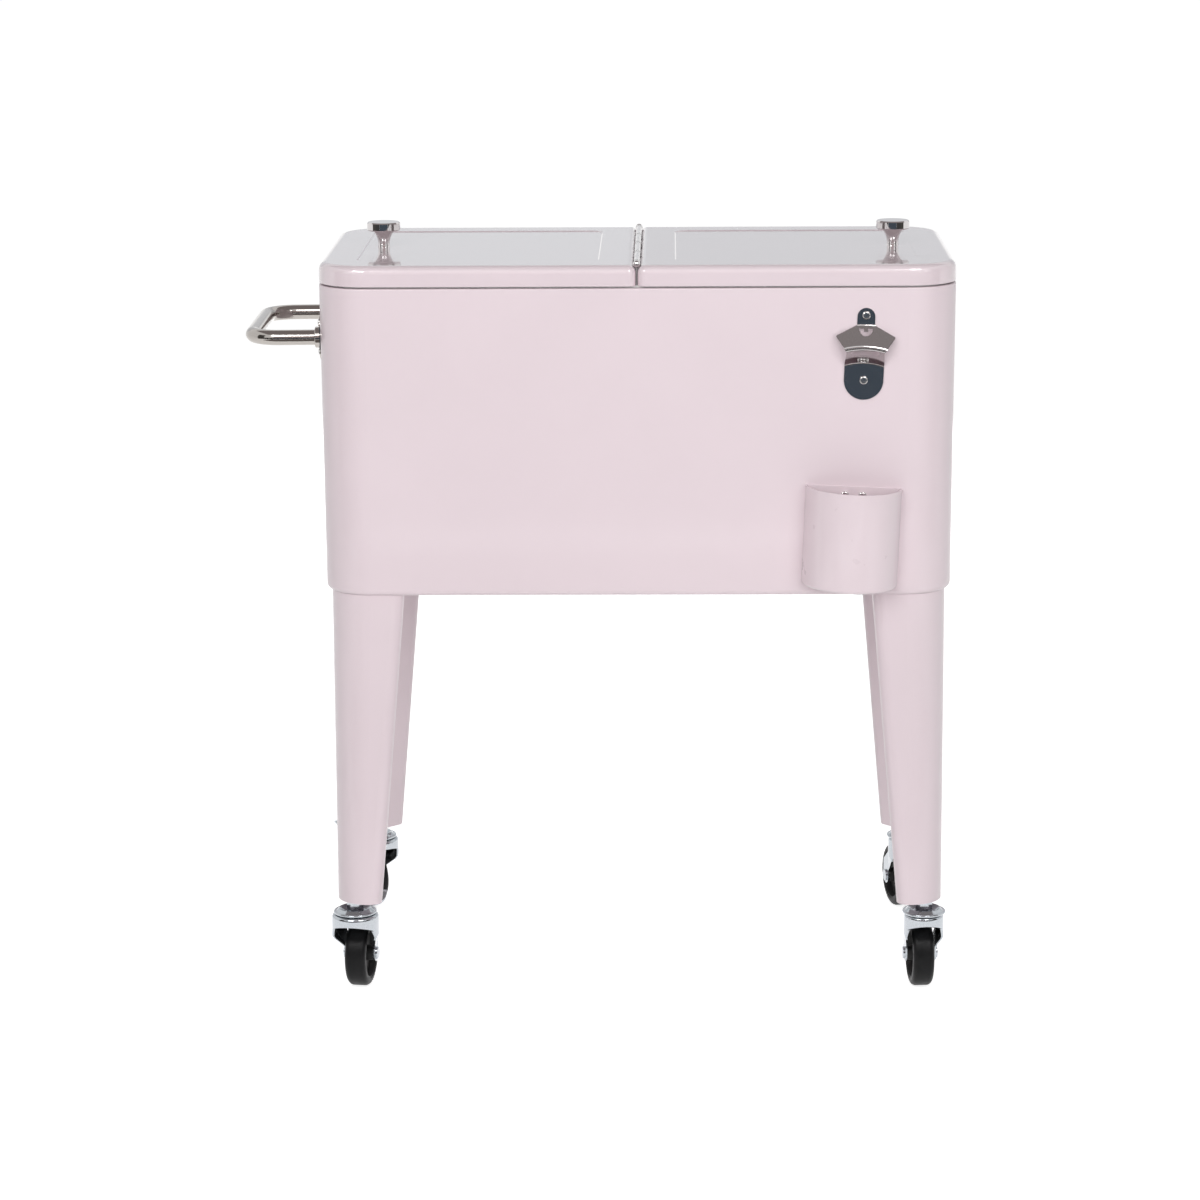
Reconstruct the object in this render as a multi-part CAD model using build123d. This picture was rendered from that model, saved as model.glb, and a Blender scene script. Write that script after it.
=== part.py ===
from build123d import *

import os
from math import asin, atan2, cos, degrees, radians, sin, sqrt

# Rolling patio cooler: an insulated steel tub on four tapered legs with swivel casters.
# Millimetres, +Z up, standing on the floor at Z = 0 and seen from -Y, with +X to the right.
# Everything is drawn about the tub's own centre line and moved as one when it is written.

# Tub
body_length = 650.0
body_depth = 340.0
body_height = 317.0
corner_radius = 50.0
end_wall_lean = 2.0
sheet = 1.0
fold_radius = 6.0
rim_hem = 13.0
base_hem = 42.0
foam_wall = 20.0
foam_floor = 25.0
liner_wall = 2.0
liner_rim_inset = 8.0
tub_fillet = 14.0
overrun = 5.0
fit_gap = 0.3
running_gap = 0.05

# Lids
lid_gap = 2.0
lid_height = 21.0
lid_slit = 2.0
lid_fillet = 8.0
lid_hem = 5.0
panel_margin = 40.0
panel_depth = 0.8
panel_corner = 14.0
panel_slope = 60.0
rim_edge = 1.4
gasket_inset = 10.0
gasket_width = 9.0
gasket_height = 4.0
plug_gap = 3.0
plug_depth = 8.0
plug_corner = 22.0

# Centre hinge
crossbar_width = 34.0
crossbar_height = 14.0
crossbar_wall = 2.0
crossbar_corner = 3.0
hinge_rise = 0.4
pin_radius = 1.5
pin_ball_radius = 3.8
knuckle_radius = 3.1
hinge_end_margin = 16.0
ball_offset = 4.5
bay_count = 4
post_length = 10.0
post_width = 1.4
knuckle_gap = 0.4
leaf_wall = 1.0
leaf_gap = 0.1
leaf_foot_gap = 1.5
leaf_top_drop = 4.2

# Lid knobs
knob_end_distance = 58.0
knob_height = 26.4
knob_head_radius = 17.5
knob_head_height = 9.0
knob_head_edge = 1.2
knob_neck_radius = 11.5
knob_foot_radius = 6.3
knob_waist_radius = 6.0
knob_curve_share = 0.12
knob_thread_radius = 2.5
knob_thread_depth = 12.0
knob_screw_head_radius = 5.0
knob_screw_head_height = 3.0

# Tow handle on the left end
handle_reach = 83.0
handle_half_spread = 95.0
handle_tube_radius = 8.0
handle_tube_wall = 1.5
handle_corner = 30.0
handle_drop = 59.5
flange_height = 46.0
flange_width = 24.0
flange_wall = 2.5
collar_radius = 11.0
collar_length = 8.0
flange_screw_spacing = 31.0

# Round-headed screws
screw_radius = 2.0
screw_length = 12.0
screw_head_radius = 4.2
screw_head_height = 2.2
screw_slot_width = 0.9
screw_slot_depth = 0.8
screw_dome_share = 0.7

# Bottle opener
opener_end_distance = 93.5
opener_screw_drop = 27.8
opener_tilt = 2.0
opener_sheet = 1.8
opener_reach = 19.0
tab_rise = 7.6
tab_half_width = 9.0
tab_drop = 10.0
hood_half_width = 30.5
hood_tip_drop = 21.0
hood_lip_drop = 31.0
hood_lip_half_width = 22.5
waist_drop = 37.0
waist_half_width = 19.0
lobe_top_drop = 48.0
lobe_radius = 20.0
lobe_screw_drop = 66.0
tooth_hole_radius = 7.0
tooth_hole_drop = 13.0
tooth_width = 4.0
tooth_height = 3.0
opener_slot_width = 28.5
opener_slot_height = 5.5
opener_bend_radius = 3.0
opener_arc_radius = 80.0

# Cap catcher
catcher_end_distance = 104.5
catcher_top_drop = 203.5
catcher_height = 102.0
catcher_radius = 49.0
catcher_wall = 1.5
catcher_edge = 3.0
catcher_tilt = 2.5
catcher_screw_spacing = 18.0
catcher_screw_drop = 9.0

# Drain
drain_from_end = 90.0
drain_bore = 9.0
drain_tube_radius = 13.0
drain_flange_radius = 22.0
drain_flange_wall = 2.5
drain_gasket_wall = 1.5
drain_reach = 30.0
drain_nut_flats = 36.0
drain_nut_height = 8.0
drain_cap_radius = 17.0
drain_cap_height = 16.0
drain_cap_wall = 2.5
drain_cap_flutes = 12
drain_flute_radius = 2.0

# Legs
leg_height = 332.0
leg_inset = 5.6
leg_top_width = 76.7
leg_foot_width = 47.6
leg_top_corner = 42.0
leg_foot_corner = 34.0
leg_inner_corner = 12.0
leg_wall = 1.5
leg_cap_wall = 2.5
foot_plate_wall = 3.0
leg_bolt_near = 17.0
leg_bolt_far = 48.0
leg_bolt_radius = 3.0
leg_bolt_head_radius = 6.5
leg_bolt_head_height = 4.0
leg_nut_height = 5.0

# Casters
caster_height = 100.0
caster_inset = 18.6
wheel_radius = 35.0
wheel_width = 22.5
wheel_shoulder = 5.5
tyre_depth = 8.0
rim_wall = 2.5
web_width = 8.0
hub_radius = 8.5
caster_trail = 24.5
stem_radius = 5.0
stem_rise = 17.0
stem_hex_flats = 15.0
nut_share = 0.7
race_radius = 22.8
race_drop = 13.5
race_rise = 5.5
race_wall = 1.5
race_rim = 1.5
race_ridge_radius = 17.0
race_dish_radius = 12.0
braked_crown_radius = 24.8
plain_crown_radius = 20.8
crown_height = 22.0
crown_gap = 0.6
crown_edge = 3.5
washer_radius = 14.0
fork_sheet = 2.0
fork_gap = 29.0
braked_waist_height = 43.0
plain_waist_height = 46.0
fork_foot_radius = 9.0
fork_skirt = 9.5
fork_corner_drop = 15.3
fork_corner_share = 0.47
fork_sweep_drop = 28.0
fork_sweep_share = 0.2
fork_sweep_radius = 6.0
fork_flare_radius = 20.0
fork_shoulder = 6.0
fork_neck_rise = 8.0
fork_wheel_room = 2.5
axle_radius = 3.0
axle_head_radius = 6.5
axle_head_height = 2.0
axle_edge = 0.8
front_left_swivel = -8.5
front_right_swivel = 5.0
rear_right_swivel = 14.0
rear_left_swivel = 33.0

# Brake pedals on the two left casters
pedal_pivot_back = 30.5
pedal_pivot_height = 80.5
pedal_pin_radius = 2.0
pedal_ear_radius = 4.0
pedal_ear_wall = 2.0
lug_half_gap = 9.0
pedal_reach = 68.0
pedal_tip_height = 93.0
pedal_width = 44.0
pedal_sheet = 2.0
pedal_corner = 12.0
pedal_travel = 12.0
shoe_angle = 21.0
shoe_arc = 16.0
shoe_height = 4.0
shoe_width = 18.0
shoe_gap = 0.4

# Heights and places that follow from the sizes above
root_two = sqrt(2)
root_three = sqrt(3)
body_bottom = caster_height + leg_height
rim_z = body_bottom + body_height
liner_rim_z = rim_z + liner_wall
lid_bottom = rim_z + lid_gap
lid_top = lid_bottom + lid_height
panel_z = lid_top - panel_depth
hinge_z = lid_top + hinge_rise
half_depth = body_depth / 2
liner_inset = sheet + foam_wall
tub_inset = liner_inset + liner_wall
tub_floor = body_bottom + 2 * sheet + foam_floor + liner_wall
handle_z = rim_z - handle_drop
knob_x = body_length / 2 - knob_end_distance
gasket_z = liner_rim_z + fit_gap
lid_liner_z = gasket_z + gasket_height


def move(shape, x=0.0, y=0.0, z=0.0):
    return Location((x, y, z)) * shape


def rod(radius, z_low, z_high):
    """A solid cylinder on the Z axis."""
    return extrude(Plane.XY.offset(z_low) * Circle(radius), z_high - z_low)


def tube(radius, bore, z_low, z_high):
    """A hollow cylinder on the Z axis."""
    return extrude(Plane.XY.offset(z_low) * (Circle(radius) - Circle(bore)), z_high - z_low)


def hexagon(flats, z_low, z_high):
    """A hexagonal bar on the Z axis, measured across its flats."""
    return extrude(Plane.XY.offset(z_low) * RegularPolygon(flats / 2, 6, major_radius=False), z_high - z_low)


def block(x_low, x_high, y_low, y_high, z_low, z_high):
    size = (x_high - x_low, y_high - y_low, z_high - z_low)
    return move(Box(*size, align=Align.MIN), x_low, y_low, z_low)


def revolved(points):
    """A turned part: radius and height points, closed along the Z axis."""
    return revolve(Plane.XZ * make_face(Polyline(*points, close=True)), Axis.Z)


def side_plane(x):
    """A plane across the X axis, drawn with +Y to the right and +Z up."""
    return Plane(origin=(x, 0, 0), x_dir=(0, 1, 0), z_dir=(1, 0, 0))


def half_length(z):
    """Half of the tub's length at a height: its end walls lean in towards the foot."""
    return body_length / 2 - end_wall_lean * (rim_z - z) / body_height


def body_block(inset, z_low, z_high):
    """A block with the tub's outline, set in evenly from its skin."""
    low = half_length(z_low) - inset
    high = half_length(z_high) - inset
    front = make_face(Polyline((-low, z_low), (low, z_low), (high, z_high), (-high, z_high), close=True))
    form = extrude(Plane.XZ * front, half_depth - inset, both=True)
    level_edges = form.edges().filter_by(Axis.X) + form.edges().filter_by(Axis.Y)
    return fillet(form.edges() - level_edges, corner_radius - inset)


def lowest_edges(shape):
    return shape.edges().group_by(Axis.Z)[0]


def highest_edges(shape):
    return shape.edges().group_by(Axis.Z)[-1]


def mirrored_left(shape):
    return mirror(shape, about=Plane.YZ)


def drilled(shape, places, depth):
    """Cut a screw hole at each place: a screw there points down the place's -Z."""
    for place in places:
        shape -= place * rod(screw_radius, -depth, 0)
    return shape


# Screw shared by the fittings: it points down its own -Z, with its head above z = 0
def round_screw(length=screw_length):
    head = extrude(Circle(screw_head_radius), screw_head_height)
    head = fillet(highest_edges(head), screw_head_height * screw_dome_share)
    for turn in (0, 90):
        slot = Box(screw_head_radius, screw_slot_width, screw_slot_depth)
        head -= Location((0, 0, screw_head_height), (0, 0, turn)) * slot
    return head + rod(screw_radius, -length, 0)


# Tub: painted sheet shell, base sheet, foam and liner

def leg_frame(shape, side_x, side_y):
    """Put a shape drawn in a leg's own corner frame under one corner of the tub."""
    placed = move(shape, leg_inset - half_length(body_bottom), leg_inset - half_depth)
    if side_x > 0:
        placed = mirror(placed, about=Plane.YZ)
    if side_y > 0:
        placed = mirror(placed, about=Plane.XZ)
    return placed


corners = [(side_x, side_y) for side_y in (-1, 1) for side_x in (-1, 1)]
bolt_places = [(leg_bolt_near, leg_bolt_far), (leg_bolt_far, leg_bolt_near)]
drain_x = body_length / 2 - drain_from_end


def bolt_holes(z_low, z_high):
    holes = Part()
    for side_x, side_y in corners:
        for x, y in bolt_places:
            holes += leg_frame(move(rod(leg_bolt_radius, z_low, z_high), x, y), side_x, side_y)
    return holes


def wall_screw_places():
    return handle_screw_places() + opener_screw_places() + catcher_screw_places()


def shell_hollow():
    hollow = body_block(sheet, body_bottom + sheet, rim_z - sheet)
    return fillet(lowest_edges(hollow), fold_radius - sheet)


def make_outer_shell():
    outer = body_block(0, body_bottom, rim_z)
    outer = fillet(lowest_edges(outer), fold_radius)
    outer = fillet(highest_edges(outer), rim_edge)
    outer -= shell_hollow()
    outer -= body_block(rim_hem, rim_z - 2 * sheet, rim_z + overrun)
    outer -= body_block(base_hem, body_bottom - overrun, body_bottom + 2 * sheet)
    outer -= bolt_holes(body_bottom - overrun, body_bottom + overrun)
    return drilled(outer, wall_screw_places(), screw_length)


def make_base_panel():
    panel = body_block(fold_radius, body_bottom + sheet, body_bottom + 2 * sheet)
    panel -= bolt_holes(body_bottom, body_bottom + overrun)
    return panel - move(rod(drain_tube_radius, body_bottom, rim_z), drain_x)


def liner_block():
    outer = body_block(liner_inset, tub_floor - liner_wall, liner_rim_z)
    return fillet(lowest_edges(outer), tub_fillet + liner_wall)


def make_foam():
    foam = shell_hollow() - body_block(0, body_bottom, body_bottom + 2 * sheet)
    foam -= liner_block()
    pocket_top = body_bottom + 2 * sheet + leg_nut_height
    for side_x, side_y in corners:
        for x, y in bolt_places:
            pocket = rod(leg_bolt_head_radius, body_bottom, pocket_top)
            foam -= leg_frame(move(pocket, x, y), side_x, side_y)
    foam -= move(rod(drain_tube_radius, body_bottom, rim_z), drain_x)
    foam = drilled(foam, wall_screw_places(), screw_length)
    return drilled(foam, crossbar_screw_places(), foam_wall / 2)


def make_liner():
    inner = body_block(tub_inset, tub_floor, liner_rim_z + overrun)
    inner = fillet(lowest_edges(inner), tub_fillet)
    liner = liner_block() + body_block(liner_rim_inset, rim_z, liner_rim_z)
    liner -= inner
    liner -= move(rod(drain_tube_radius, body_bottom, tub_floor + overrun), drain_x)
    return drilled(liner, crossbar_screw_places(), foam_wall / 2)


# Drain: flanged spout through the floor, clamped by a nut, with a screwed cap below
drain_foot = body_bottom - drain_reach
drain_flange_z = tub_floor + drain_gasket_wall


def make_drain_spout():
    spout = rod(drain_flange_radius, drain_flange_z, drain_flange_z + drain_flange_wall)
    spout = chamfer(highest_edges(spout), drain_flange_wall / 2)
    spout += rod(drain_tube_radius, drain_foot, drain_flange_z)
    return spout - rod(drain_bore, drain_foot - overrun, drain_flange_z + overrun)


def make_drain_cap():
    mouth = drain_foot + drain_cap_height - drain_cap_wall
    cap = rod(drain_cap_radius, drain_foot - drain_cap_wall - fit_gap, mouth)
    cap = fillet(lowest_edges(cap), drain_cap_wall / 2)
    cap -= rod(drain_tube_radius + running_gap, drain_foot - fit_gap, mouth + overrun)
    flute = rod(drain_flute_radius, drain_foot - overrun, mouth + overrun)
    flute = move(flute, drain_cap_radius + drain_flute_radius / 2)
    for step in range(drain_cap_flutes):
        cap -= Rot(0, 0, step * 360 / drain_cap_flutes) * flute
    return cap


def make_drain_nut():
    top = body_bottom + sheet
    nut = hexagon(drain_nut_flats, top - drain_nut_height, top)
    return nut - rod(drain_tube_radius, drain_foot, rim_z)


# Centre hinge: one pin through fixed posts on the crossbar and the knuckles of both lids
hinge_half = half_depth - hinge_end_margin
bay_pitch = (2 * hinge_half - post_length) / bay_count
knuckle_length = (bay_pitch - post_length - 3 * knuckle_gap) / 2


def along_y(shape, y):
    """Lay a shape drawn up the Z axis along +Y on the hinge line, starting at y."""
    return Location((0, y, hinge_z), (-90, 0, 0)) * shape


def post_starts():
    return [bay * bay_pitch - hinge_half for bay in range(bay_count + 1)]


def make_crossbar():
    low = liner_rim_z - crossbar_height
    width = crossbar_width / 2
    reach = half_depth - tub_inset
    bar = block(-width, width, -reach, reach, low, liner_rim_z)
    bar = fillet(bar.edges().filter_by(Axis.Y).group_by(Axis.Z)[-1], crossbar_corner)
    bar -= block(crossbar_wall - width, width - crossbar_wall, crossbar_wall - reach,
                 reach - crossbar_wall, low - overrun, liner_rim_z - crossbar_wall)
    for start in post_starts():
        bar += block(-post_width / 2, post_width / 2, start, start + post_length, liner_rim_z, hinge_z)
        bar += along_y(rod(knuckle_radius, 0, post_length), start)
        bar -= along_y(rod(pin_radius, -overrun, post_length + overrun), start)
    return drilled(bar, crossbar_screw_places(), foam_wall / 2)


def crossbar_screw_places():
    inner = half_depth - tub_inset - crossbar_wall
    z = liner_rim_z - (crossbar_height + crossbar_wall) / 2
    return [Location((x, side * inner, z), (90 * side, 0, 0))
            for side in (-1, 1) for x in (-crossbar_width / 4, crossbar_width / 4)]


def crossbar_screws():
    return [place * round_screw(foam_wall / 2) for place in crossbar_screw_places()]


def make_hinge_pin():
    pin = along_y(rod(pin_radius, 0, 2 * hinge_half + 2 * ball_offset), -hinge_half - ball_offset)
    for side in (-1, 1):
        pin += Location((0, side * (hinge_half + ball_offset), hinge_z)) * Sphere(pin_ball_radius)
    return pin


def make_leaf(place_in_bay):
    """Right-hand leaf, a sheet in the slit with every second knuckle of the row."""
    inner = lid_slit / 2 + leaf_gap
    plate_low = lid_bottom + leaf_foot_gap
    plate_high = hinge_z - leaf_top_drop
    leaf = block(inner, inner + leaf_wall, -hinge_half, hinge_half, plate_low, plate_high)
    for start in post_starts()[:-1]:
        y = start + post_length + knuckle_gap + place_in_bay * (knuckle_length + knuckle_gap)
        web = block(inner, inner + leaf_wall, y, y + knuckle_length, plate_low, hinge_z - pin_radius)
        leaf += web + along_y(rod(knuckle_radius, 0, knuckle_length), y)
    bore = rod(pin_radius + running_gap, -overrun, 2 * hinge_half + overrun)
    return leaf - along_y(bore, -hinge_half)


# Lids: a pressed skin, foam, a liner with a plug that drops into the tub, and a gasket

def lid_outline(inset, outer_radius, inner_radius, near=None):
    """The right-hand lid from above: two wide corners at the end, two tight ones at the slit."""
    near = lid_slit / 2 + inset if near is None else near
    far = body_length / 2 - inset
    side = half_depth - inset
    path = FilletPolyline(
        (near, -side), (far, -side), (far, side), (near, side), close=True,
        radius=[inner_radius, outer_radius, outer_radius, inner_radius])
    return make_face(path)


def lid_form(inset, z_low):
    """The lid's outside, or the space inside its skin when it is set in by the sheet."""
    top = lid_top - inset
    outline = lid_outline(inset, corner_radius - inset, lid_fillet - inset)
    form = extrude(Plane.XY.offset(z_low) * outline, top - z_low)
    form = fillet(highest_edges(form), lid_fillet - inset)
    panel = Plane.XY.offset(panel_z - inset) * RectangleRounded(
        body_length / 2 - 2 * panel_margin + 2 * inset, body_depth - 2 * panel_margin + 2 * inset,
        panel_corner + inset)
    form -= move(extrude(panel, panel_depth + fit_gap, taper=-panel_slope), body_length / 4)
    seat = lid_slit / 2 + leaf_gap + leaf_wall + inset
    reach = hinge_half + fit_gap + inset
    return form - block(0, seat, -reach, reach, z_low - overrun, lid_top + overrun)


def make_lid_skin():
    slit_side = lid_slit / 2 + leaf_gap + leaf_wall + sheet
    mouth = lid_outline(lid_hem, corner_radius - lid_hem, lid_fillet - lid_hem, slit_side)
    skin = lid_form(0, lid_bottom) - lid_form(sheet, lid_bottom + sheet)
    skin -= extrude(Plane.XY.offset(lid_bottom - overrun) * mouth, 2 * overrun)
    return skin - move(rod(knob_thread_radius, lid_bottom, lid_top), knob_x)


def lid_plug(inset, z_low, z_high):
    near = crossbar_width / 2 + plug_gap + inset
    outline = lid_outline(tub_inset + plug_gap + inset, plug_corner - inset, plug_corner - inset, near)
    return extrude(Plane.XY.offset(z_low) * outline, z_high - z_low)


def make_lid_liner():
    plug_low = liner_rim_z - plug_depth
    top = lid_liner_z + liner_wall
    space = lid_form(sheet, lid_bottom + sheet)
    liner = space & block(0, body_length, -body_depth, body_depth, lid_liner_z, top)
    plug = lid_plug(0, plug_low, top)
    plug = fillet(lowest_edges(plug), liner_wall)
    return liner + plug - lid_plug(liner_wall, plug_low + liner_wall, top + overrun)


def make_lid_foam():
    foam = lid_form(sheet, lid_liner_z + liner_wall)
    foam += lid_plug(liner_wall, liner_rim_z - plug_depth + liner_wall, lid_liner_z + liner_wall)
    head_low = panel_z - sheet - knob_screw_head_height
    return foam - move(rod(knob_screw_head_radius, head_low, lid_top), knob_x)


def make_lid_gasket():
    inner = gasket_inset + gasket_width
    near = lid_slit / 2 + leaf_gap + leaf_wall + fit_gap
    outside = lid_outline(gasket_inset, corner_radius - gasket_inset, lid_fillet, near + sheet)
    inside = lid_outline(inner, corner_radius - inner, lid_fillet, near + sheet + gasket_width)
    return extrude(Plane.XY.offset(gasket_z) * (outside - inside), gasket_height)


def make_knob():
    head_low = knob_height - knob_head_height
    waist = knob_waist_radius + (knob_neck_radius - knob_waist_radius) * knob_curve_share
    curve = ThreePointArc((knob_foot_radius, 0), (waist, head_low / 2), (knob_neck_radius, head_low))
    rim = Polyline(
        (knob_neck_radius, head_low), (knob_head_radius, head_low), (knob_head_radius, knob_height),
        (0, knob_height), (0, 0), (knob_foot_radius, 0))
    knob = revolve(Plane.XZ * make_face(curve + rim), Axis.Z)
    circles = knob.edges().filter_by(GeomType.CIRCLE)
    rims = circles.filter_by(lambda edge: edge.radius > knob_head_radius - fit_gap)
    knob = chamfer(rims, knob_head_edge)
    knob -= rod(knob_thread_radius, -overrun, knob_thread_depth)
    return move(knob, knob_x, 0, panel_z)


def make_knob_screw():
    under = panel_z - sheet
    screw = rod(knob_screw_head_radius, under - knob_screw_head_height, under)
    screw = chamfer(lowest_edges(screw), knob_screw_head_height / 4)
    screw += rod(knob_thread_radius, under, panel_z + knob_thread_depth)
    return move(screw, knob_x)


# Tow handle: a bent tube in two collared flanges on the left end wall
lean_angle = degrees(atan2(end_wall_lean, body_height))
handle_frame = Location((-half_length(handle_z), 0, handle_z), (0, -lean_angle, 0))


def make_handle_tube():
    end = handle_tube_radius - handle_reach
    path = FilletPolyline(
        (-flange_wall, -handle_half_spread, 0), (end, -handle_half_spread, 0),
        (end, handle_half_spread, 0), (-flange_wall, handle_half_spread, 0), radius=handle_corner)
    ring = Circle(handle_tube_radius) - Circle(handle_tube_radius - handle_tube_wall)
    section = Plane(origin=path @ 0, z_dir=path % 0) * ring
    return handle_frame * sweep(section, path)


def handle_flanges():
    group = []
    for side in (-1, 1):
        outline = RectangleRounded(flange_width, flange_height, flange_width / 2 - fit_gap)
        plate = extrude(outline, flange_wall)
        collar = extrude(Circle(collar_radius), collar_length)
        collar = fillet(highest_edges(collar), flange_wall / 2)
        flange = plate + collar - rod(handle_tube_radius, flange_wall, collar_length + overrun)
        for drop in (-1, 1):
            flange -= move(rod(screw_radius, -overrun, overrun), 0, drop * flange_screw_spacing / 2)
        plane = Plane(origin=(0, side * handle_half_spread, 0), x_dir=(0, 1, 0), z_dir=(-1, 0, 0))
        group.append(handle_frame * plane.location * flange)
    return group


def handle_screw_places():
    places = []
    for side in (-1, 1):
        for drop in (-1, 1):
            origin = (-flange_wall, side * handle_half_spread, drop * flange_screw_spacing / 2)
            plane = Plane(origin=origin, x_dir=(0, 1, 0), z_dir=(-1, 0, 0))
            places.append(handle_frame * plane.location)
    return places


# Fittings on the front wall, drawn on it with x right, y up and z outwards
def on_front(centre_x, centre_z, tilt):
    plane = Plane(origin=(centre_x, -half_depth, centre_z), x_dir=(1, 0, 0), z_dir=(0, -1, 0))
    return plane.location * Rot(0, 0, -tilt)


opener_x = body_length / 2 - opener_end_distance
opener_place = on_front(opener_x, rim_z - opener_screw_drop, opener_tilt)


def make_bottle_opener():
    half_sheet = opener_sheet / 2
    side_view = FilletPolyline(
        (half_sheet, tab_rise), (half_sheet, -tab_drop),
        (opener_reach - half_sheet, -hood_lip_drop), (half_sheet, -lobe_top_drop),
        (half_sheet, -lobe_screw_drop - lobe_radius), radius=opener_bend_radius)
    strip = trace(side_view, line_width=opener_sheet)
    across = Plane(origin=(0, 0, 0), x_dir=(0, 0, 1), z_dir=(-1, 0, 0))
    hub = Axis((0, -hood_lip_drop - opener_arc_radius, 0), (0, 0, 1))
    half_turn = degrees(asin((hood_half_width + overrun) / opener_arc_radius))
    start = Pos(hub.position) * Rot(0, 0, -half_turn) * Pos(-hub.position)
    sheet_metal = start * revolve(across * strip, hub, 2 * half_turn)
    outline = make_face(Polyline(
        (tab_half_width, tab_rise - tab_half_width), (tab_half_width, -tab_drop),
        (hood_half_width, -hood_tip_drop), (hood_lip_half_width, -hood_lip_drop),
        (waist_half_width, -waist_drop), (lobe_radius, -lobe_top_drop),
        (lobe_radius, -lobe_screw_drop), (-lobe_radius, -lobe_screw_drop), (-lobe_radius, -lobe_top_drop),
        (-waist_half_width, -waist_drop), (-hood_lip_half_width, -hood_lip_drop),
        (-hood_half_width, -hood_tip_drop), (-tab_half_width, -tab_drop),
        (-tab_half_width, tab_rise - tab_half_width), close=True))
    outline = fillet(outline.vertices(), opener_bend_radius / 2)
    outline += Pos(0, -lobe_screw_drop) * Circle(lobe_radius)
    outline += Pos(0, tab_rise - tab_half_width) * Circle(tab_half_width)
    tooth_hole = Circle(tooth_hole_radius) - Pos(0, tooth_hole_radius) * Rectangle(
        2 * tooth_hole_radius, 2 * tooth_hole_radius)
    tooth_hole -= Pos(0, -tooth_height / 2) * Rectangle(tooth_width, tooth_height)
    slot = RectangleRounded(opener_slot_width, opener_slot_height, opener_slot_height / 2 - fit_gap)
    cut = Pos(0, -tooth_hole_drop) * tooth_hole + Pos(0, -waist_drop) * slot
    opener = sheet_metal & extrude(outline - cut, opener_reach)
    return drilled(opener_place * opener, opener_screw_places(), screw_length)


def opener_screw_places():
    return [opener_place * Location((0, -drop, opener_sheet)) for drop in (0, lobe_screw_drop)]


catcher_x = body_length / 2 - catcher_end_distance
catcher_place = on_front(catcher_x, rim_z - catcher_top_drop, catcher_tilt)


def half_round(inset, height):
    """A half disc on the wall, set in evenly and drawn out upwards."""
    radius = catcher_radius - inset
    disc = Circle(radius) - Pos(0, radius - inset) * Rectangle(2 * radius, 2 * radius)
    upright = Plane(origin=(0, inset - catcher_height, 0), x_dir=(1, 0, 0), z_dir=(0, 1, 0))
    return extrude(upright * disc, height)


def make_cap_catcher():
    """A half-round pocket with an open top and a flat back on the wall."""
    pocket = half_round(0, catcher_height)
    pocket = fillet(pocket.edges().group_by(Axis.Y)[0].filter_by(GeomType.CIRCLE), catcher_edge)
    inside = half_round(catcher_wall, catcher_height + overrun)
    inner_edge = inside.edges().group_by(Axis.Y)[0].filter_by(GeomType.CIRCLE)
    pocket -= fillet(inner_edge, catcher_edge - catcher_wall)
    return drilled(catcher_place * pocket, catcher_screw_places(), screw_length)


def catcher_screw_places():
    return [catcher_place * Location((side * catcher_screw_spacing / 2, -catcher_screw_drop, catcher_wall))
            for side in (-1, 1)]


# Legs: tapered closed sections with a wide outer corner and a diagonal inner web
def leg_section(width, outer_corner, inset):
    """A rounded right triangle with its square corner at the origin, set in evenly."""
    side = width + root_two * leg_inner_corner
    shrunk = side - (2 + root_two) * inset
    path = FilletPolyline(
        (inset, inset), (inset + shrunk, inset), (inset, inset + shrunk), close=True,
        radius=[outer_corner - inset, leg_inner_corner - inset, leg_inner_corner - inset])
    return make_face(path)


def leg_loft(inset, z_low, z_high):
    levels = []
    for z in (z_low, z_high):
        share = (z - caster_height) / leg_height
        width = leg_foot_width + share * (leg_top_width - leg_foot_width)
        corner = leg_foot_corner + share * (leg_top_corner - leg_foot_corner)
        levels.append(Plane.XY.offset(z) * leg_section(width, corner, inset))
    return loft(levels, ruled=True)


def make_leg():
    leg = leg_loft(0, caster_height, body_bottom)
    leg -= leg_loft(leg_wall, caster_height - overrun, body_bottom - leg_cap_wall)
    for x, y in bolt_places:
        leg -= move(rod(leg_bolt_radius, body_bottom - overrun, body_bottom + overrun), x, y)
    return leg


def make_foot_plate():
    plate = leg_loft(leg_wall, caster_height, caster_height + foot_plate_wall)
    return plate - move(rod(stem_radius, 0, body_bottom), caster_inset, caster_inset)


def make_leg_bolt():
    """A hexagon bolt up through the leg's cap, with its nut inside the foam."""
    under = body_bottom - leg_cap_wall
    over = body_bottom + 2 * sheet
    bolt = hexagon(leg_bolt_head_radius * root_three, under - leg_bolt_head_height, under)
    bolt += rod(leg_bolt_radius, under, over)
    return bolt + hexagon(leg_bolt_head_radius * root_three, over, over + leg_nut_height)


# Casters, drawn on the stem's axis with the wheel trailing along +Y
race_z = caster_height - race_drop
crown_top = race_z - crown_gap
crown_low = crown_top - crown_height
fork_half = fork_gap / 2 + fork_sheet


def make_caster_stem():
    """Threaded stem with its hexagon collar, and a riveted head under the fork's crown."""
    stem = rod(stem_radius, crown_top - fork_sheet, caster_height + stem_rise)
    stem = chamfer(highest_edges(stem), stem_radius / 5)
    stem += hexagon(stem_hex_flats, race_z + race_wall, caster_height)
    head_high = crown_top - fork_sheet - running_gap
    stem += rod(stem_radius + race_wall, head_high - race_wall, head_high)
    return stem + rod(stem_radius, head_high - race_wall, crown_top)


def make_stem_nut():
    low = caster_height + foot_plate_wall
    nut = hexagon(stem_hex_flats, low, low + 2 * stem_radius * nut_share)
    return nut - rod(stem_radius, low - overrun, low + 2 * stem_rise)


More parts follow.
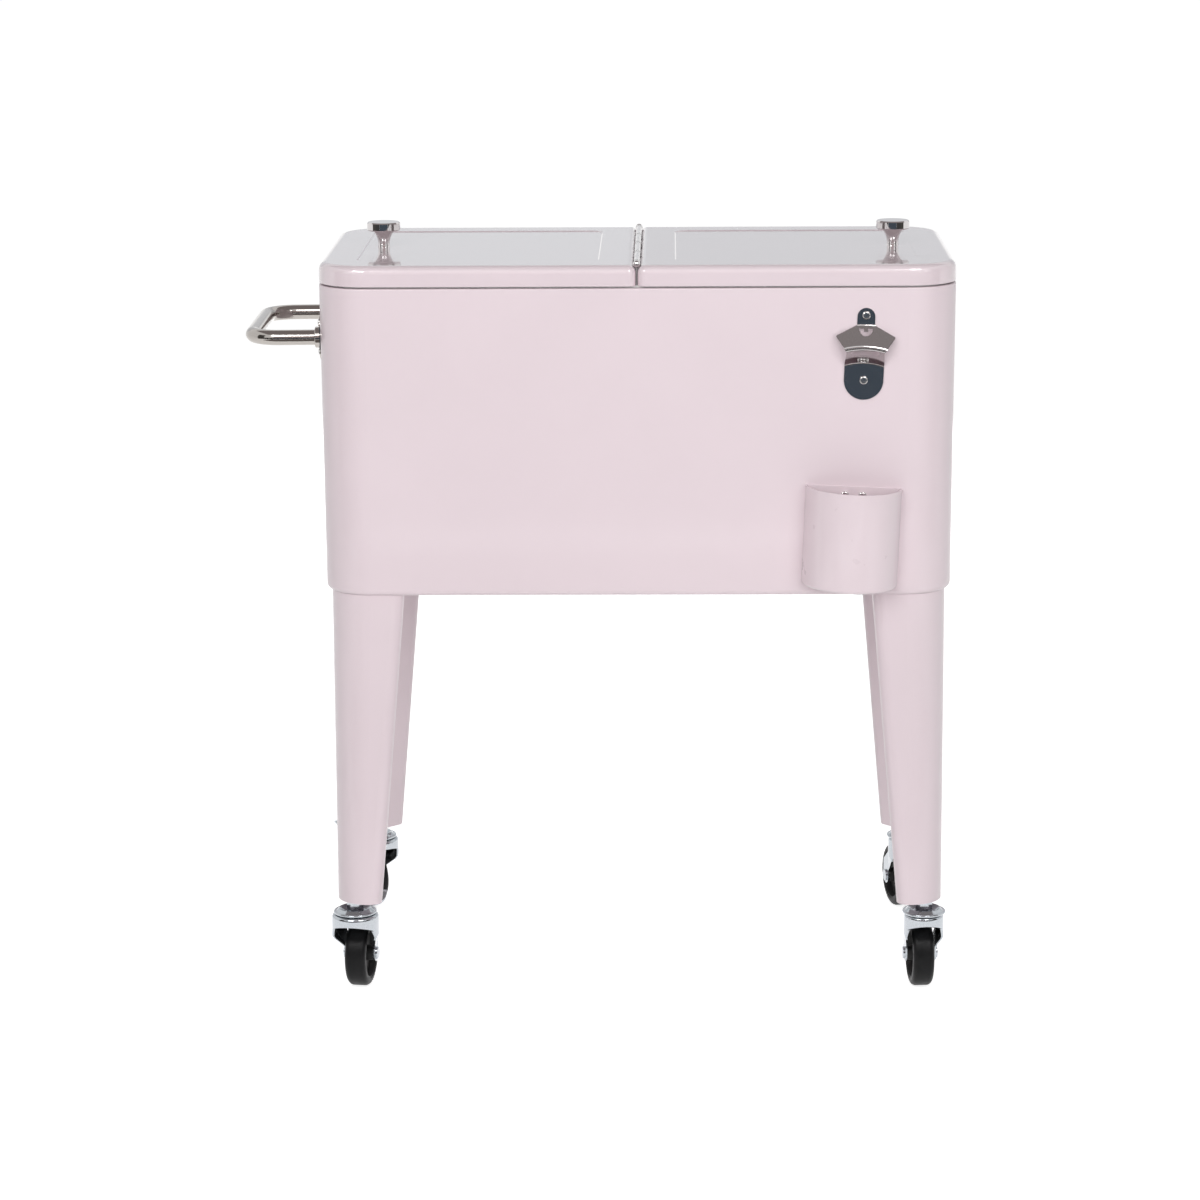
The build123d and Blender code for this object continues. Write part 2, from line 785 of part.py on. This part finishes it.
def make_race():
    """The dished upper race: a rolled rim, a ridge, and a dish round the hexagon."""
    low = race_z
    dish = low + race_wall
    plate = make_face(Polyline(
        (stem_radius, low), (race_dish_radius, low), (race_ridge_radius, low + race_rise - race_wall),
        (race_radius - race_rim, low), (race_radius - race_rim, dish), (race_ridge_radius, low + race_rise),
        (race_dish_radius, dish), (stem_radius, dish), close=True))
    rim = Pos(race_radius - race_rim, low + race_rim) * Circle(race_rim)
    return revolve(Plane.XZ * (plate + rim), Axis.Z)


def make_thrust_washer():
    return tube(washer_radius, stem_radius + running_gap, crown_top, race_z)


def fork_body(crown, waist_height, inset, cheeks):
    """The pressed form of the fork: a round crown that narrows into two flat cheeks."""
    radius = crown - inset
    half_width = fork_half - inset
    wide = 2 * radius - half_width
    wide_height = 2 * crown_low - waist_height
    front_view = FilletPolyline(
        (-wide, 2 * crown_top), (-wide, wide_height), (-half_width, waist_height),
        (-half_width, -wheel_radius), (half_width, -wheel_radius), (half_width, waist_height),
        (wide, wide_height), (wide, 2 * crown_top),
        close=True, radius=fork_flare_radius)
    cap = rod(radius, 0, crown_top - inset)
    cap = fillet(highest_edges(cap), crown_edge - inset)
    return (cap + cheeks) & extrude(Plane.XZ * make_face(front_view), 3 * crown, both=True)


def fork_side_view(crown):
    """The fork seen from its side: skirt, swept front edge, and a round foot at the axle."""
    front_foot = caster_trail - fork_foot_radius
    back_foot = caster_trail + fork_foot_radius
    corner = (-crown * fork_corner_share, crown_top - fork_corner_drop)
    slope = (fork_corner_drop - fork_skirt) / (crown + corner[0])
    sweep = FilletPolyline(
        (-2 * crown, crown_top - fork_skirt + slope * crown), corner,
        (-crown * fork_sweep_share, crown_top - fork_sweep_drop),
        (front_foot, wheel_radius + fork_neck_rise), (front_foot, wheel_radius), radius=fork_sweep_radius)
    face = make_face(sweep + Polyline(
        (front_foot, wheel_radius), (back_foot, wheel_radius), (back_foot, 2 * crown_top),
        (-2 * crown, 2 * crown_top), (-2 * crown, crown_top - fork_skirt + slope * crown)))
    return face + Pos(caster_trail, wheel_radius) * Circle(fork_foot_radius)


def make_fork(braked):
    crown = braked_crown_radius if braked else plain_crown_radius
    waist_height = braked_waist_height if braked else plain_waist_height
    back_foot = caster_trail + fork_foot_radius
    cheek_view = make_face(Polyline(
        (0, 0), (back_foot, 0), (back_foot, waist_height + fork_shoulder),
        (crown / 2, crown_low + fork_shoulder),
        (0, crown_low + fork_shoulder), close=True))
    cheeks = extrude(side_plane(-fork_half) * cheek_view, 2 * fork_half)
    room = block(-fork_gap / 2, fork_gap / 2, 0, 2 * crown_top, 0, 2 * wheel_radius + fork_wheel_room)
    form = fork_body(crown, waist_height, 0, cheeks) - fork_body(crown, waist_height, fork_sheet, room)
    form &= extrude(side_plane(0) * fork_side_view(crown), 2 * crown, both=True)
    form -= rod(stem_radius + running_gap, 0, caster_height)
    form -= axle_bar(axle_radius, 2 * crown)
    if braked:
        form += pedal_lugs()
    return form


def axle_bar(radius, half):
    return Location((-half, caster_trail, wheel_radius), (0, 90, 0)) * rod(radius, 0, 2 * half)


def make_axle():
    axle = axle_bar(axle_radius, fork_half)
    for side in (-1, 1):
        head = extrude(Circle(axle_head_radius), axle_head_height)
        head = fillet(highest_edges(head), axle_edge)
        axle += Location((side * fork_half, caster_trail, wheel_radius), (0, 90 * side, 0)) * head
    return axle


def wheel_turned(face):
    """Turn a face of width and radius points about the wheel's axle."""
    solid = revolve(Plane.XY * face, Axis.X)
    return move(solid, 0, caster_trail, wheel_radius)


def make_tyre():
    half = wheel_width / 2
    inner = wheel_radius - tyre_depth
    section = Pos(0, wheel_radius - tyre_depth / 2) * Rectangle(wheel_width, tyre_depth)
    outer = section.vertices().group_by(Axis.Y)[-1]
    return wheel_turned(fillet(outer, wheel_shoulder))


def make_hub():
    """Moulded hub: rim under the tyre, thin web and a boss that fills the fork's gap."""
    outer = wheel_radius - tyre_depth
    rim_half = wheel_width / 2 - axle_edge
    boss_half = fork_gap / 2 - fit_gap
    bore = axle_radius + running_gap
    web_half = web_width / 2
    right = [
        (boss_half, bore), (boss_half, hub_radius - axle_edge), (web_half, hub_radius),
        (web_half, outer - rim_wall), (rim_half, outer - rim_wall + axle_edge), (rim_half, outer)]
    left = [(-x, y) for x, y in reversed(right)]
    return wheel_turned(make_face(Polyline(*right, *left, close=True)))


# Brake pedals: a lever in two lugs behind the crown, with a shoe over the tyre
pedal_pivot = Location((0, pedal_pivot_back, pedal_pivot_height))


def pivot_bar(radius, half):
    return pedal_pivot * Location((-half, 0, 0), (0, 90, 0)) * rod(radius, 0, 2 * half)


def pedal_lugs():
    lugs = Part()
    eye = Pos(pedal_pivot_back, pedal_pivot_height) * Circle(pedal_ear_radius)
    wall = braked_crown_radius - fork_sheet
    root_height = fork_skirt - crown_edge
    root = Pos(wall, crown_top - crown_edge - root_height / 2) * Rectangle(fork_sheet, root_height)
    face = make_hull(eye.edges() + root.edges())
    for side in (-1, 1):
        lugs += extrude(side_plane(side * lug_half_gap - pedal_ear_wall / 2) * face, pedal_ear_wall)
    lugs -= rod(wall + fork_sheet / 2, 0, caster_height)
    return lugs - pivot_bar(pedal_pin_radius + running_gap, braked_crown_radius)


def braked_shoe():
    """The shoe as it sits on the tyre when the pedal is down."""
    near = wheel_radius + shoe_gap
    ring = Circle(near + shoe_height) - Circle(near)
    sides = [radians(shoe_angle + side * shoe_arc / 2) for side in (-1, 1)]
    reach = [(2 * near * sin(angle), 2 * near * cos(angle)) for angle in sides]
    wedge = make_face(Polyline((0, 0), *reach, close=True))
    shoe = extrude(side_plane(-shoe_width / 2) * (ring & wedge), shoe_width)
    return move(shoe, 0, caster_trail, wheel_radius)


def make_brake_pedal():
    released = pedal_pivot * Rot(pedal_travel, 0, 0) * pedal_pivot.inverse()
    shoe = released * braked_shoe()
    half = lug_half_gap - pedal_ear_wall / 2 - fit_gap
    rise = pedal_tip_height - pedal_pivot_height
    length = pedal_reach - pedal_pivot_back
    path = FilletPolyline(
        (0, 0), (length - pedal_corner, rise), (length, rise - pedal_ear_radius / 2), radius=pedal_sheet)
    lever = extrude(side_plane(-pedal_width / 2) * trace(path, line_width=pedal_sheet), pedal_width)
    lever = pedal_pivot * lever
    neck_end = pedal_pivot_back + pedal_ear_radius
    plan = Pos(0, (neck_end + pedal_reach) / 2 + pedal_ear_radius / 2) * RectangleRounded(
        pedal_width, pedal_reach - neck_end - pedal_ear_radius / 2, pedal_corner)
    plan += Pos(0, (pedal_pivot_back + pedal_reach) / 2 - pedal_corner) * Rectangle(2 * half, length)
    lever &= extrude(plan, 2 * caster_height)
    arm = extrude(side_plane(-half) * shoe_arm_view(), 2 * half)
    pedal = lever + arm + shoe + pivot_bar(pedal_pin_radius, lug_half_gap + pedal_ear_wall)
    return pedal + pivot_bar(pedal_ear_radius - fit_gap, half)


def shoe_arm_view():
    """Side view of the arm between the pivot and the shoe, in the released position."""
    released = pedal_travel
    mid = wheel_radius + shoe_gap + shoe_height / 2
    y = caster_trail + mid * sin(radians(shoe_angle)) - pedal_pivot_back
    z = wheel_radius + mid * cos(radians(shoe_angle)) - pedal_pivot_height
    turned_y = y * cos(radians(released)) - z * sin(radians(released))
    turned_z = y * sin(radians(released)) + z * cos(radians(released))
    ends = Pos(pedal_pivot_back, pedal_pivot_height) * Circle(pedal_sheet)
    tip = Pos(pedal_pivot_back + turned_y, pedal_pivot_height + turned_z) * Circle(pedal_sheet)
    return make_hull(ends.edges() + tip.edges())


stem_x = half_length(body_bottom) - leg_inset - caster_inset
stem_y = half_depth - leg_inset - caster_inset
casters = {
    "front_left": (-1, -1, front_left_swivel), "front_right": (1, -1, front_right_swivel),
    "rear_left": (-1, 1, rear_left_swivel), "rear_right": (1, 1, rear_right_swivel)}

# Every piece under its name; identical small pieces share one
nodes = {}


def add(name, *solids):
    nodes[name] = solids


def add_tub():
    add("outer_shell", make_outer_shell())
    add("base_panel", make_base_panel())
    add("foam_insulation", make_foam())
    add("inner_liner", make_liner())
    add("drain_spout", move(make_drain_spout(), drain_x))
    gasket = tube(drain_flange_radius, drain_tube_radius, tub_floor, drain_flange_z)
    add("drain_gasket", move(gasket, drain_x))
    add("drain_nut", move(make_drain_nut(), drain_x))
    add("drain_cap", move(make_drain_cap(), drain_x))


def add_hinge():
    add("hinge_crossbar", make_crossbar())
    add("crossbar_screws", *crossbar_screws())
    add("hinge_pin", make_hinge_pin())
    add("right_hinge_leaf", make_leaf(1))
    add("left_hinge_leaf", mirrored_left(make_leaf(0)))


def add_lids():
    pieces = {
        "skin": make_lid_skin(), "foam": make_lid_foam(), "liner": make_lid_liner(),
        "gasket": make_lid_gasket(), "knob": make_knob(), "knob_screw": make_knob_screw()}
    for name, piece in pieces.items():
        add("right_lid_" + name, piece)
        add("left_lid_" + name, mirrored_left(piece))


def add_fittings():
    add("handle_tube", make_handle_tube())
    add("handle_flanges", *handle_flanges())
    add("handle_screws", *[place * round_screw() for place in handle_screw_places()])
    add("bottle_opener", make_bottle_opener())
    add("opener_screws", *[place * round_screw() for place in opener_screw_places()])
    add("cap_catcher", make_cap_catcher())
    add("catcher_screws", *[place * round_screw() for place in catcher_screw_places()])


def add_legs():
    leg = make_leg()
    plate = make_foot_plate()
    bolt = make_leg_bolt()
    for name, (side_x, side_y, _) in casters.items():
        add("leg_" + name, leg_frame(leg, side_x, side_y))
    add("leg_foot_plates", *[leg_frame(plate, *corner) for corner in corners])
    bolts = [move(bolt, x, y) for x, y in bolt_places]
    add("leg_bolts", *[leg_frame(placed, *corner) for corner in corners for placed in bolts])


def add_casters():
    places = {
        name: Location((side_x * stem_x, side_y * stem_y, 0))
        for name, (side_x, side_y, _) in casters.items()}
    fixed = {
        "caster_stems": make_caster_stem(), "caster_stem_nuts": make_stem_nut(),
        "caster_races": make_race(), "caster_thrust_washers": make_thrust_washer()}
    for name, piece in fixed.items():
        add(name, *[place * piece for place in places.values()])
    axle = make_axle()
    hub = make_hub()
    tyre = make_tyre()
    plain_fork = make_fork(False)
    brake_fork = make_fork(True)
    pedal = make_brake_pedal()
    for name, (side_x, side_y, swivel) in casters.items():
        turned = places[name] * Rot(0, 0, swivel)
        add(name + "_fork", turned * (brake_fork if side_x < 0 else plain_fork))
        add(name + "_axle", turned * axle)
        add(name + "_wheel_hub", turned * hub)
        add(name + "_tyre", turned * tyre)
        if side_x < 0:
            add(name + "_brake_pedal", turned * pedal)


def floor_shift():
    """The move that brings the floor point under the middle of the whole to the origin."""
    boxes = [solid.bounding_box() for solids in nodes.values() for solid in solids]
    x = min(box.min.X for box in boxes) + max(box.max.X for box in boxes)
    y = min(box.min.Y for box in boxes) + max(box.max.Y for box in boxes)
    return Location((-x / 2, -y / 2, 0))


def save():
    os.makedirs("parts", exist_ok=True)
    shift = floor_shift()
    for name, solids in nodes.items():
        moved = [shift * solid for solid in solids]
        shape = moved[0] if len(moved) == 1 else Compound(children=moved)
        export_step(shape, "parts/" + name + ".step")


for step in (add_tub, add_hinge, add_lids, add_fittings, add_legs, add_casters):
    step()
save()
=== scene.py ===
from math import cos, sin

import bpy
from mathutils import Matrix, Vector


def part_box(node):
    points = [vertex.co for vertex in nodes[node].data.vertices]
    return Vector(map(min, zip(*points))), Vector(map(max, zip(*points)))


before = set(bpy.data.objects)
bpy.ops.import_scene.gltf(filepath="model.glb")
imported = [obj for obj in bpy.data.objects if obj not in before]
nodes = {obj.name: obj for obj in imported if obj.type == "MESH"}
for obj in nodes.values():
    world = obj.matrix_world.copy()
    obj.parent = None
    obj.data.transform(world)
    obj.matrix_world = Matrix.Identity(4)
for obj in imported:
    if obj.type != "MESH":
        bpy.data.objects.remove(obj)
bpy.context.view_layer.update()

corners = ("front_left", "front_right", "rear_left", "rear_right")

# The tub's own centre line in the frame: half-way between the two lid knobs
left_knob, right_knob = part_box("left_lid_knob"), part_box("right_lid_knob")
centre = Vector((
    (left_knob[0].x + right_knob[1].x) / 2, (left_knob[0].y + left_knob[1].y) / 2, 0))

# Camera, fitted to the photo: a long lens, above the lids and a little to the right
mm = 0.001
camera_place_mm = (34.5, -3946.6, 1254.6)  # from the centre line on the floor
camera_yaw, camera_pitch, camera_roll = -0.0194, 0.2155, 0.0059  # radians
focal_px, photo_width_px = 3769, 1200
sensor_mm = 36
view_limit_m = 100

# Colours are linear red, green and blue. Lengths in the materials are metres, noise scales
# are waves per metre, and most of the noise's values lie between noise_low and noise_high.
black, white = (0, 0, 0, 1), (1, 1, 1, 1)
tub_pink = (0.800, 0.683, 0.723)
noise_low, noise_high = 0.3, 0.7

# Floor and world. What the camera and mirror reflections see is lifted to white.
floor_side_m = 60
floor_greys = (0.80, 0.80, 0.80), (0.82, 0.82, 0.82)
floor_glow = 0.76
world_light, world_seen = 0.315, 1.0

# Lamps: place, side and power in watts. They light the object, and no reflection shows them.
lamp_target = (0, 0, 0.5)
lamps = {
    "key": ((-0.8, -3.3, 2.0), 2.2, 55.5),
    "fill": ((1.6, -3.1, 1.3), 2.0, 34),
    "back": ((0.2, 3.4, 0.85), 1.6, 42),
}

# Cards that only reflections show: place, target, width, height and glow. The two soft boxes
# are bright, the cards at the sides and near the floor dark, and the two behind the object,
# which the lids mirror, pale.
softbox_glow = (12, 12, 12)
side_glow = (0.08, 0.075, 0.07)
low_glow = (0.06, 0.06, 0.06)
cards = {
    "softbox_left": ((-0.9, -1.8, 1.95), (0, 0, 0.78), 0.9, 0.5, softbox_glow),
    "softbox_right": ((0.84, -1.7, 1.95), (0, 0, 0.78), 0.8, 0.5, softbox_glow),
    "card_left": ((-2.4, -1.0, 0.9), (0, 0, 0.7), 1.0, 2.2, side_glow),
    "card_right": ((2.4, -1.0, 0.9), (0, 0, 0.7), 1.0, 2.2, side_glow),
    "card_low_front": ((0, -2.6, 0.40), (0, 0, 0.40), 2.8, 0.76, (0.07, 0.09, 0.115)),
    "card_low_left": ((-1.86, -1.86, 0.40), (0, 0, 0.40), 1.5, 0.76, low_glow),
    "card_low_right": ((1.86, -1.86, 0.40), (0, 0, 0.40), 1.5, 0.76, low_glow),
    "card_mid_front": ((0, -2.8, 1.45), (0, 0, 1.45), 3.0, 1.2, (0.46, 0.38, 0.38)),
    "card_top": ((0, 0.1, 3.0), (0, 0.1, 0), 4.4, 3.8, (0.30, 0.27, 0.27)),
    "card_floor": ((0, -1.5, 0.02), (0, -1.5, 1), 3.0, 1.8, (0.20, 0.18, 0.17)),
    "card_back_left": ((-1.75, 4.0, 1.9), (-1.75, 0, 0.9), 3.5, 1.5, (0.75, 0.765, 0.79)),
    "card_back_right": ((1.75, 4.0, 1.9), (1.75, 0, 0.9), 3.5, 1.5, (0.69, 0.70, 0.725)),
}


def add_camera():
    forward = Vector((
        sin(camera_yaw) * cos(camera_pitch), cos(camera_yaw) * cos(camera_pitch),
        -sin(camera_pitch)))
    right = Vector((cos(camera_yaw), -sin(camera_yaw), 0))
    down = forward.cross(right)
    turn_cos, turn_sin = cos(camera_roll), sin(camera_roll)
    right, down = right * turn_cos + down * turn_sin, down * turn_cos - right * turn_sin
    camera = bpy.data.objects.new("camera", bpy.data.cameras.new("camera"))
    camera.data.sensor_width = sensor_mm
    camera.data.lens = focal_px / photo_width_px * sensor_mm
    camera.data.clip_end = view_limit_m
    turned = Matrix((right, -down, -forward)).transposed()
    place = Vector(camera_place_mm) * mm + centre
    camera.matrix_world = Matrix.Translation(place) @ turned.to_4x4()
    bpy.context.scene.collection.objects.link(camera)
    bpy.context.scene.camera = camera


# Parts of materials

def new_material(name, **values):
    """A Principled material with its plain values set on the shader's own sockets."""
    material = bpy.data.materials.new(name)
    material.use_nodes = True
    shader = material.node_tree.nodes["Principled BSDF"]
    for key, value in values.items():
        shader.inputs[key.replace("_", " ")].default_value = value
    return material, material.node_tree, shader


def noise(tree, scale, detail=3.0, roughness=0.5, stretch=(1, 1, 1)):
    """Noise in the object's own metres. A small number in stretch draws it out on that axis."""
    where = tree.nodes.new("ShaderNodeTexCoord")
    mapping = tree.nodes.new("ShaderNodeMapping")
    mapping.inputs["Scale"].default_value = stretch
    texture = tree.nodes.new("ShaderNodeTexNoise")
    texture.inputs["Scale"].default_value = scale
    texture.inputs["Detail"].default_value = detail
    texture.inputs["Roughness"].default_value = roughness
    tree.links.new(where.outputs["Object"], mapping.inputs["Vector"])
    tree.links.new(mapping.outputs["Vector"], texture.inputs["Vector"])
    return texture.outputs["Fac"]


def ramp(tree, value, low, high):
    """Turn noise into a colour between two colours, or into a number between two numbers."""
    node = tree.nodes.new("ShaderNodeValToRGB")
    ends = zip(node.color_ramp.elements, (noise_low, noise_high), (low, high))
    for end, position, colour in ends:
        end.position = position
        end.color = (*colour, 1) if isinstance(colour, tuple) else (colour, colour, colour, 1)
    tree.links.new(value, node.inputs["Fac"])
    return node.outputs["Color"]


def shaded(colour, share, lift=0):
    """A colour made darker or lighter, and no brighter than white."""
    return tuple(min(c * share + lift, 1) for c in colour)


def connect(tree, shader, colour, rough):
    tree.links.new(colour, shader.inputs["Base Color"])
    tree.links.new(rough, shader.inputs["Roughness"])


def bump(tree, shader, value, strength, distance):
    node = tree.nodes.new("ShaderNodeBump")
    node.inputs["Strength"].default_value = strength
    node.inputs["Distance"].default_value = distance
    tree.links.new(value, node.inputs["Height"])
    tree.links.new(node.outputs["Normal"], shader.inputs["Normal"])


# Materials

def paint_material(name, shade, rough, coat):
    """Pale pink stoved paint: almost even colour, a faint orange-peel skin and a gloss coat."""
    clouds, patches, orange_peel = 7, 60, 420
    darkest, palest = 0.985, 1.012
    glossiest, dullest = 0.9, 1.12
    material, tree, shader = new_material(
        name, IOR=1.5, Coat_Weight=coat, Coat_Roughness=0.05, Coat_IOR=1.5)
    pink = shaded(tub_pink, shade)
    connect(
        tree, shader,
        ramp(tree, noise(tree, clouds), shaded(pink, darkest), shaded(pink, palest)),
        ramp(tree, noise(tree, patches, detail=5), rough * glossiest, rough * dullest))
    bump(tree, shader, noise(tree, orange_peel, detail=2), strength=0.03, distance=0.0004)
    return material


def metal_material(name, colour, rough, streak=(1, 1, 1), spread=0.25, bumps=0.03):
    """Bare or plated metal with fine streaks or blooms in its colour and its roughness."""
    streaks = 900
    colour_spread = spread * 0.3
    material, tree, shader = new_material(name, Metallic=1.0)
    grain = noise(tree, streaks, detail=4, roughness=0.6, stretch=streak)
    connect(
        tree, shader,
        ramp(tree, grain, shaded(colour, 1 - colour_spread), colour),
        ramp(tree, grain, rough * (1 + spread), rough * (1 - spread)))
    bump(tree, shader, grain, bumps, distance=0.0001)
    return material


def plastic_material(name, colour, rough, grain=1500, bumps=0.15, specular=0.5, spread=0.14):
    """Moulded plastic or rubber: a slightly uneven colour and a fine grain."""
    clouds, patches = 120, 300
    glossiest, dullest = 0.9, 1.15
    material, tree, shader = new_material(name, IOR=1.49, Specular_IOR_Level=specular)
    dark, light = shaded(colour, 1 - spread), shaded(colour, 1 + spread * 0.7, lift=0.002)
    connect(
        tree, shader,
        ramp(tree, noise(tree, clouds, detail=4), dark, light),
        ramp(tree, noise(tree, patches, detail=3), rough * glossiest, min(rough * dullest, 1)))
    bump(tree, shader, noise(tree, grain, detail=2), bumps, distance=0.0003)
    return material


def foam_material():
    """Rigid pale foam with its fine closed cells."""
    clouds, cells = 500, 900
    dark, light = (0.72, 0.66, 0.44), (0.88, 0.82, 0.6)
    material, tree, shader = new_material("foam", Roughness=0.95)
    colour = ramp(tree, noise(tree, clouds, detail=5), dark, light)
    tree.links.new(colour, shader.inputs["Base Color"])
    bump(tree, shader, noise(tree, cells, detail=4), strength=0.5, distance=0.001)
    return material


def use(material, *names):
    """Give a material to the nodes of these names."""
    for name in names:
        mesh = nodes[name].data
        mesh.materials.clear()
        mesh.materials.append(material)


def dress_nodes():
    use(paint_material("tub_paint", shade=1.0, rough=0.34, coat=0.35),
        "outer_shell", "base_panel")
    use(paint_material("lid_paint", shade=1.0, rough=0.16, coat=1.0),
        "left_lid_skin", "right_lid_skin")
    use(paint_material("leg_paint", shade=0.985, rough=0.34, coat=0.35),
        "leg_foot_plates", *["leg_" + corner for corner in corners])
    use(paint_material("catcher_paint", shade=1.0, rough=0.3, coat=0.45),
        "cap_catcher")
    use(metal_material("knob_chrome", (0.70, 0.67, 0.67), 0.04, spread=0.2, bumps=0.005),
        "left_lid_knob", "right_lid_knob")
    use(metal_material("handle_steel", (0.46, 0.43, 0.405), 0.11, (0.05, 0.05, 1), bumps=0.008),
        "handle_tube", "handle_flanges")
    use(metal_material("opener_steel", (0.66, 0.64, 0.64), 0.09, (1, 1, 0.05)),
        "bottle_opener")
    use(metal_material("hinge_steel", (0.8, 0.78, 0.78), 0.22, (1, 0.05, 1)),
        "hinge_pin", "left_hinge_leaf", "right_hinge_leaf")
    use(metal_material("screw_steel", (0.72, 0.71, 0.7), 0.15),
        "crossbar_screws", "handle_screws", "opener_screws", "catcher_screws",
        "left_lid_knob_screw", "right_lid_knob_screw", "leg_bolts")
    use(metal_material("zinc_plate", (0.52, 0.55, 0.58), 0.13, spread=0.5),
        "caster_stems", "caster_stem_nuts", "caster_races", "front_left_brake_pedal",
        "rear_left_brake_pedal",
        *[corner + part for corner in corners for part in ("_fork", "_axle")])
    use(plastic_material("wheel_hub", (0.010, 0.010, 0.010), 0.5),
        *[corner + "_wheel_hub" for corner in corners])
    use(plastic_material(
            "tyre", (0.0055, 0.0055, 0.006), 0.42, grain=700, bumps=0.2, specular=0.18),
        *[corner + "_tyre" for corner in corners])
    use(plastic_material("liner_white", (0.8, 0.8, 0.79), 0.28, bumps=0.03, spread=0.015),
        "inner_liner", "left_lid_liner", "right_lid_liner", "hinge_crossbar")
    use(plastic_material("drain_plastic", (0.7, 0.7, 0.69), 0.45, spread=0.04),
        "drain_spout", "drain_nut", "drain_cap", "caster_thrust_washers")
    use(plastic_material("seal_rubber", (0.03, 0.03, 0.03), 0.8),
        "drain_gasket", "left_lid_gasket", "right_lid_gasket")
    use(foam_material(),
        "foam_insulation", "left_lid_foam", "right_lid_foam")


# Floor, world, lamps and cards

def add_sheet(name, width, height):
    """A flat rectangle round its own origin."""
    w, h = width / 2, height / 2
    mesh = bpy.data.meshes.new(name)
    mesh.from_pydata([(-w, -h, 0), (w, -h, 0), (w, h, 0), (-w, h, 0)], [], [(0, 1, 2, 3)])
    sheet = bpy.data.objects.new(name, mesh)
    bpy.context.scene.collection.objects.link(sheet)
    return sheet


def aim(thing, place, target):
    thing.location = place
    direction = Vector(target) - Vector(place)
    thing.rotation_euler = direction.to_track_quat("-Z", "Y").to_euler()


def seen(tree):
    """1 where the camera or a mirror reflection looks, 0 where light is gathered."""
    rays = tree.nodes.new("ShaderNodeLightPath")
    either = tree.nodes.new("ShaderNodeMath")
    either.operation = "MAXIMUM"
    tree.links.new(rays.outputs["Is Camera Ray"], either.inputs[0])
    tree.links.new(rays.outputs["Is Glossy Ray"], either.inputs[1])
    return either.outputs["Value"]


def add_floor():
    """A pale floor that the camera sees as white, with the object's soft shadow kept."""
    clouds = 3
    floor = add_sheet("floor", floor_side_m, floor_side_m)
    material, tree, shader = new_material(
        "floor", Roughness=0.9, Specular_IOR_Level=0.0, Emission_Color=white)
    colour = ramp(tree, noise(tree, clouds), *floor_greys)
    tree.links.new(colour, shader.inputs["Base Color"])
    glow = tree.nodes.new("ShaderNodeMath")
    glow.operation = "MULTIPLY"
    glow.inputs[1].default_value = floor_glow
    tree.links.new(seen(tree), glow.inputs[0])
    tree.links.new(glow.outputs["Value"], shader.inputs["Emission Strength"])
    floor.data.materials.append(material)


def add_world():
    """White to look at and in reflections, but only a dim light from all sides."""
    world = bpy.data.worlds.new("world")
    bpy.context.scene.world = world
    world.use_nodes = True
    tree = world.node_tree
    tree.nodes.clear()
    mix = tree.nodes.new("ShaderNodeMixShader")
    tree.links.new(seen(tree), mix.inputs["Fac"])
    for slot, strength in ((1, world_light), (2, world_seen)):
        background = tree.nodes.new("ShaderNodeBackground")
        background.inputs["Color"].default_value = white
        background.inputs["Strength"].default_value = strength
        tree.links.new(background.outputs["Background"], mix.inputs[slot])
    output = tree.nodes.new("ShaderNodeOutputWorld")
    tree.links.new(mix.outputs["Shader"], output.inputs["Surface"])


def add_lamp(name, place, side, power):
    lamp = bpy.data.lights.new(name, "AREA")
    lamp.shape = "SQUARE"
    lamp.size = side
    lamp.energy = power
    light = bpy.data.objects.new(name, lamp)
    aim(light, place, lamp_target)
    light.visible_glossy = False
    light.visible_camera = False
    bpy.context.scene.collection.objects.link(light)


def add_card(name, place, target, width, height, glow):
    """A glowing card beside the set, seen only in reflections, as in a product studio."""
    card = add_sheet(name, width, height)
    aim(card, place, target)
    card.visible_camera = False
    card.visible_diffuse = False
    card.visible_shadow = False
    material = new_material(
        name, Base_Color=black, Roughness=1.0, Specular_IOR_Level=0.0,
        Emission_Color=(*glow, 1), Emission_Strength=1.0)[0]
    card.data.materials.append(material)


def add_studio():
    """Three large lamps light the object. Reflections show the cards instead of the lamps."""
    add_world()
    add_floor()
    for name, values in lamps.items():
        add_lamp(name, *values)
    for name, values in cards.items():
        add_card(name, *values)


bpy.context.scene.view_settings.view_transform = "Standard"
dress_nodes()
add_camera()
add_studio()
